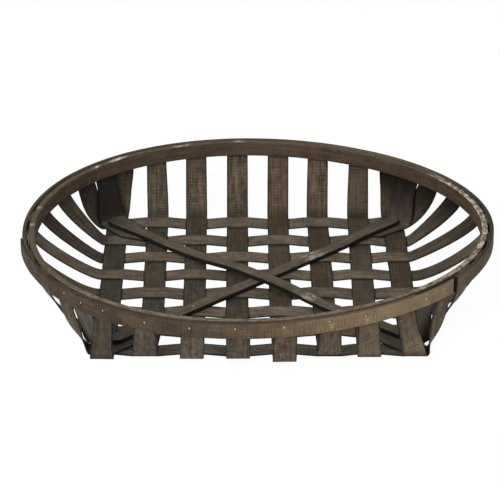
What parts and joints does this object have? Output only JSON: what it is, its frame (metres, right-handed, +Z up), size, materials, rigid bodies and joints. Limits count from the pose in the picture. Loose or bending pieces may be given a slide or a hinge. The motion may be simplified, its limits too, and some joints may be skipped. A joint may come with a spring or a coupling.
{
  "type": "tobacco basket",
  "caption": "Flat woven-splint farm basket: square plain-weave base bent up to an oval rim of nailed hoop and bands, with diagonal corner splints and crossed brace slats.",
  "frame": {"origin": "centre of the rim's outline in plan, on the surface the basket stands on", "axes": "+X to the right along the crosswise splints and the rim's longer width, +Y to the back along the lengthwise splints, +Z up"},
  "size_m": [0.5691, 0.5397, 0.084],
  "materials": {
    "splint_wood": "dark weathered sawn oak, matt",
    "crosswise_wood": "grey-brown weathered sawn oak, matt",
    "hoop_wood": "weathered oak, paler and scuffed on its top edge",
    "band_wood": "weathered oak, warmer brown with saw marks",
    "slat_wood": "weathered oak with pale scuffs",
    "nail_steel": "small dull nail heads"
  },
  "bodies": {
    "root": {"lengthwise_splint_1": "splint_wood", "lengthwise_splint_2": "splint_wood", "lengthwise_splint_3": "splint_wood", "lengthwise_splint_4": "splint_wood", "lengthwise_splint_5": "splint_wood", "lengthwise_splint_6": "splint_wood", "lengthwise_splint_7": "splint_wood", "lengthwise_splint_8": "splint_wood", "crosswise_splint_1": "crosswise_wood", "crosswise_splint_2": "crosswise_wood", "crosswise_splint_3": "crosswise_wood", "crosswise_splint_4": "crosswise_wood", "crosswise_splint_5": "crosswise_wood", "crosswise_splint_6": "crosswise_wood", "crosswise_splint_7": "crosswise_wood", "crosswise_splint_8": "crosswise_wood", "corner_splint_back_left": "splint_wood", "corner_splint_front_left": "splint_wood", "corner_splint_front_right": "splint_wood", "corner_splint_back_right": "splint_wood", "upper_brace_slat": "slat_wood", "lower_brace_slat": "slat_wood", "inner_hoop": "hoop_wood", "rear_band": "band_wood", "front_band": "band_wood", "rim_nail_01": "nail_steel", "rim_nail_02": "nail_steel", "rim_nail_03": "nail_steel", "rim_nail_04": "nail_steel", "rim_nail_05": "nail_steel", "rim_nail_06": "nail_steel", "rim_nail_07": "nail_steel", "rim_nail_08": "nail_steel", "rim_nail_09": "nail_steel", "rim_nail_10": "nail_steel", "rim_nail_11": "nail_steel", "rim_nail_12": "nail_steel", "rim_nail_13": "nail_steel", "rim_nail_14": "nail_steel", "rim_nail_15": "nail_steel", "rim_nail_16": "nail_steel", "rim_nail_17": "nail_steel", "rim_nail_18": "nail_steel", "rim_nail_19": "nail_steel", "rim_nail_20": "nail_steel", "rim_nail_21": "nail_steel", "rim_nail_22": "nail_steel", "rim_nail_23": "nail_steel", "rim_nail_24": "nail_steel", "rim_nail_25": "nail_steel", "rim_nail_26": "nail_steel", "rim_nail_27": "nail_steel", "rim_nail_28": "nail_steel", "rim_nail_29": "nail_steel", "rim_nail_30": "nail_steel", "rim_nail_31": "nail_steel", "rim_nail_32": "nail_steel", "rim_nail_33": "nail_steel", "rim_nail_34": "nail_steel", "rim_nail_35": "nail_steel"}
  },
  "joints": []
}
